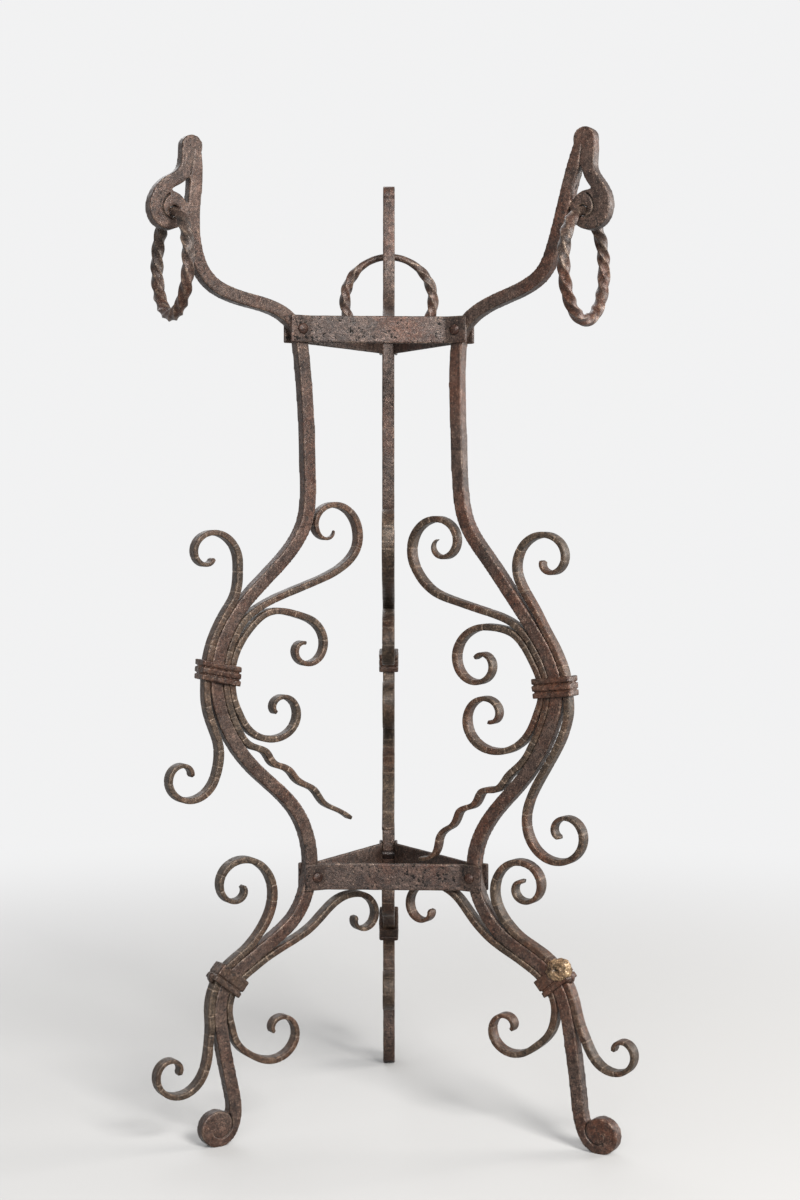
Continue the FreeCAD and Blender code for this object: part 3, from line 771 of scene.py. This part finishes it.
def iron(name, dark, light, worn_and_highlight, pitting, sheen, edge_rub_and_highlight=0.7, rust_below=None, coarse_pits=False):
    """Forged iron under an old patina: mottled, speckled, pitted, lighter on its edges as rubbed wear and
    painted highlight, with painted highlight and painted shade at nicks and painted shade in grooves and
    round rivet rims.
    """
    material = bpy.data.materials.new(name)
    tree, shader = nodes_of(material)
    make = Maker(tree)
    mottle = make.noise(60, 6, 0.62)
    grain = make.noise(620, 3, 0.7)
    rust_patch = make.spread(make.noise(17, 5, 0.62), 0.46, 0.62)
    edge = make.attribute("edge")
    nick = make.attribute("nick")
    position = make.add("ShaderNodeSeparateXYZ")
    make.link(make.place, position.inputs["Vector"])
    warm_side = make.spread(position.outputs["X"], -0.2, 0.2, 0.25, 0.9)

    base = make.mix(make.spread(mottle, 0.33, 0.67), dark, light)
    rusty = make.maths("MULTIPLY", rust_patch, warm_side)
    if rust_below:
        low_rust = make.spread(position.outputs["Z"], rust_below, rust_below - RUST_FADE)
        rusty = make.maths("MAXIMUM", rusty, low_rust)
    base = make.mix(make.maths("MULTIPLY", rusty, RUST_SHARE), base, RUST)
    cluster = make.spread(make.noise(30, 3, 0.5), 0.42, 0.56)
    spots = make.spread(make.noise(360, 3, 0.6), 0.44, 0.38)
    pits = make.maths("MULTIPLY", make.maths("MULTIPLY", spots, cluster), pitting)
    if coarse_pits:
        holes = make.spread(make.noise(210, 2, 0.55), 0.40, 0.36)
        patch = make.spread(make.noise(13, 2, 0.5), 0.49, 0.59)
        pits = make.maths("MAXIMUM", pits, make.maths("MULTIPLY", holes, patch))
    base = make.mix(pits, base, PIT_AND_SHADE)
    # Edges lighter: partly rubbed wear, partly painted highlight.
    rubbed_and_highlit = make.maths("MULTIPLY", edge, make.spread(make.noise(140, 4, 0.7), 0.48, 0.66))
    base = make.mix(make.maths("MULTIPLY", rubbed_and_highlit, edge_rub_and_highlight), base, worn_and_highlight)
    # Pale round a nick and dark in its middle: painted highlight on its lips and painted shade in its groove.
    base = make.mix(make.spread(nick, 0.10, 0.45, 0.0, 0.5), base, worn_and_highlight)
    base = make.mix(make.spread(nick, 0.45, 0.85, 0.0, 0.7), base, PIT_AND_SHADE)
    fleck = make.spread(make.noise(900, 2, 0.6), 0.60, 0.70)
    base = make.mix(make.maths("MULTIPLY", fleck, FLECK_SHARE), base, worn_and_highlight)
    blotch = make.spread(make.noise(190, 4, 0.7), 0.34, 0.66, 0.55, 1.5)
    speckle_and_shade = make.maths("MULTIPLY", make.spread(grain, 0.34, 0.68, 0.45, 1.7), blotch)
    # Darker where the mesh marks grooves, the bead's curl and rivet rims: painted shade in the colour.
    speckle_and_shade = make.maths("MULTIPLY", speckle_and_shade, make.spread(make.attribute("painted_shade"), 0.2, 0.9, 1.0, 0.25))
    shaded = make.add("ShaderNodeVectorMath", operation="SCALE")
    make.link(base, shaded.inputs[0])
    make.link(speckle_and_shade, shaded.inputs["Scale"])
    make.link(shaded.outputs["Vector"], shader.inputs["Base Color"])

    rough = make.spread(make.noise(170, 4, 0.65), 0.3, 0.7, sheen - 0.10, sheen + 0.18)
    make.link(make.maths("MAXIMUM", rough, make.spread(pits, 0, 1, 0, 0.95)), shader.inputs["Roughness"])
    shader.inputs["Metallic"].default_value = METALLIC
    shader.inputs["Specular IOR Level"].default_value = SPECULAR
    coarse = make.bump(make.noise(210, 5, 0.6), COARSE_BUMP)
    make.link(make.bump(grain, FINE_BUMP, coarse), shader.inputs["Normal"])
    return material


# name: dark, light, colour of rubbed wear and painted highlight, pitting, roughness, and what differs from
# the rest
IRONS = {
    "leg_iron": ((0.0110, 0.0056, 0.0040), (0.0400, 0.0250, 0.0190), WORN_AND_HIGHLIGHT, 0.8, 0.42, {}),
    "scroll_iron": ((0.0110, 0.0062, 0.0034), (0.0340, 0.0230, 0.0150), WORN_AND_HIGHLIGHT, 0.6, 0.44, {"edge_rub_and_highlight": 0.35}),
    "strap_iron": ((0.0095, 0.0052, 0.0040), (0.0360, 0.0230, 0.0180), WORN_AND_HIGHLIGHT, 1.0, 0.42,
                   {"coarse_pits": True}),
    "collar_iron": ((0.0105, 0.0048, 0.0032), (0.0360, 0.0220, 0.0150), WORN_AND_HIGHLIGHT, 0.6, 0.38, {}),
    "rivet_iron": ((0.0105, 0.0040, 0.0026), (0.0300, 0.0140, 0.0092), WORN_AND_HIGHLIGHT, 0.4, 0.38, {}),
    "ring_iron": ((0.0085, 0.0048, 0.0033), (0.0370, 0.0240, 0.0185), WORN_AND_HIGHLIGHT, 0.4, 0.38,
                  {"rust_below": 0.80}),
    "bead_iron": ((0.022, 0.013, 0.007), (0.240, 0.160, 0.090), (0.62, 0.45, 0.26), 0.8, 0.26, {}),
}
irons = {name: iron(name, *looks, **extra) for name, (*looks, extra) in IRONS.items()}


# ---------------------------------------------------------------- the pieces

def show(name, mesh, node, body, slot, look=None):
    """Links a mesh as a piece that rides on a body and, if it has a node, stands for it."""
    piece = bpy.data.objects.new(name, mesh)
    bpy.context.scene.collection.objects.link(piece)
    for polygon in mesh.polygons:
        polygon.use_smooth = True
    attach(piece, body)
    if node:
        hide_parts(node)
    mesh.materials.append(irons[look or slot])


for index, side in enumerate(AZIMUTHS):
    show(side + "_leg_bar", leg_mesh(side, index + 1), side + "_leg", "stand", "leg_iron")
    for order, scroll in enumerate(SCROLLS):
        node = "%s_%s" % (side, scroll)
        show(node + "_bar", scroll_mesh(node, side, 10 * index + order + 1), node, "stand", "scroll_iron")
    for place in ("waist", "ankle"):
        node = "%s_%s_collar" % (side, place)
        show(node + "_band", collar_mesh(node, side, index + 31), node, "stand", "collar_iron")
    node = "ring_" + side
    show(node + "_bar", ring_mesh(node, side, index + 41), node, side + "_ring", "ring_iron")
    for level in ("upper", "lower"):
        node = "%s_rivet_%s" % (level, side)
        show(node + "_heads", rivet_mesh(node, side, index + 51), node, "stand", "rivet_iron")
show("right_ankle_bead", bead_mesh(71), None, "stand", "collar_iron", "bead_iron")
for level in ("upper", "lower"):
    for order, face in enumerate(("front", "left", "right")):
        node = "%s_strap_%s" % (level, face)
        show(node + "_bar", strap_mesh(node, order + 61), node, "stand", "strap_iron")


# ---------------------------------------------------------------- floor, light, camera

BACKGROUND = (0.885, 0.886, 0.890)
FLOOR_RADIUS = 60.0
FLOOR_SIDES = 96
FADE_START = 0.35
FADE_END = 1.7
FLOOR_COLOUR = (0.262, 0.260, 0.258, 1)
FLOOR_ROUGHNESS = 0.7
LIGHT_TARGET = (0, 0, 0.45)
# name: place, side of the square, power, colour
LIGHTS = {
    "key": ((1.75, -3.58, 2.60), 1.5, 540, (1.0, 0.985, 0.96)),
    "front": ((-0.50, -4.20, 1.60), 1.8, 150, (0.98, 0.99, 1.0)),
    "side": ((3.20, 0.70, 1.20), 1.5, 130, (1.0, 0.97, 0.93)),
    "back": ((-1.50, 3.60, 3.40), 2.6, 60, (0.97, 0.98, 1.0)),
}
CAMERA_FROM_AXIS = Vector((0.0115, -1.942, 0.569))
CAMERA_DOWN = 0.039
CAMERA_LENS = 61.74
CAMERA_SENSOR = 36


def make_floor():
    """A pale floor that fades into the background with distance from the stand."""
    mesh = bpy.data.meshes.new("floor")
    corners = [(FLOOR_RADIUS * math.cos(2 * math.pi * k / FLOOR_SIDES),
                FLOOR_RADIUS * math.sin(2 * math.pi * k / FLOOR_SIDES), 0) for k in range(FLOOR_SIDES)]
    mesh.from_pydata(corners, [], [tuple(range(FLOOR_SIDES))])
    floor = bpy.data.objects.new("floor", mesh)
    bpy.context.scene.collection.objects.link(floor)
    material = bpy.data.materials.new("pale_floor")
    tree, shader = nodes_of(material)
    make = Maker(tree)
    shader.inputs["Base Color"].default_value = FLOOR_COLOUR
    shader.inputs["Roughness"].default_value = FLOOR_ROUGHNESS
    far = make.add("ShaderNodeEmission")
    far.inputs["Color"].default_value = (*BACKGROUND, 1)
    length = make.add("ShaderNodeVectorMath", operation="LENGTH")
    make.link(make.place, length.inputs[0])
    fade = make.add("ShaderNodeMapRange", interpolation_type="SMOOTHSTEP")
    fade.inputs["From Min"].default_value = FADE_START
    fade.inputs["From Max"].default_value = FADE_END
    make.link(length.outputs["Value"], fade.inputs["Value"])
    blend = make.add("ShaderNodeMixShader")
    make.link(fade.outputs["Result"], blend.inputs["Fac"])
    make.link(shader.outputs["BSDF"], blend.inputs[1])
    make.link(far.outputs["Emission"], blend.inputs[2])
    make.link(blend.outputs["Shader"], tree.nodes["Material Output"].inputs["Surface"])
    mesh.materials.append(material)


def area_light(name, place, size, power, colour):
    data = bpy.data.lights.new(name, "AREA")
    data.shape = "RECTANGLE"
    data.size = data.size_y = size
    data.energy = power
    data.color = colour
    lamp = bpy.data.objects.new(name, data)
    lamp.location = place
    lamp.rotation_euler = (Vector(LIGHT_TARGET) - Vector(place)).to_track_quat("-Z", "Y").to_euler()
    bpy.context.scene.collection.objects.link(lamp)


def make_world():
    world = bpy.data.worlds.new("studio")
    world.use_nodes = True
    world.node_tree.nodes["Background"].inputs["Color"].default_value = (*BACKGROUND, 1)
    world.node_tree.nodes["Background"].inputs["Strength"].default_value = 1.0
    bpy.context.scene.world = world


def make_camera():
    """Where the photograph was taken from: 1.9 m in front, a little above the middle."""
    data = bpy.data.cameras.new("camera")
    data.sensor_fit = "VERTICAL"
    data.sensor_height = CAMERA_SENSOR
    data.lens = CAMERA_LENS
    camera = bpy.data.objects.new("camera", data)
    camera.location = AXIS + CAMERA_FROM_AXIS
    camera.rotation_euler = (math.pi / 2 - CAMERA_DOWN, 0, 0)
    bpy.context.scene.collection.objects.link(camera)
    bpy.context.scene.camera = camera


make_floor()
make_world()
for name, settings in LIGHTS.items():
    area_light(name, *settings)
make_camera()
bpy.context.scene.view_settings.view_transform = "Standard"
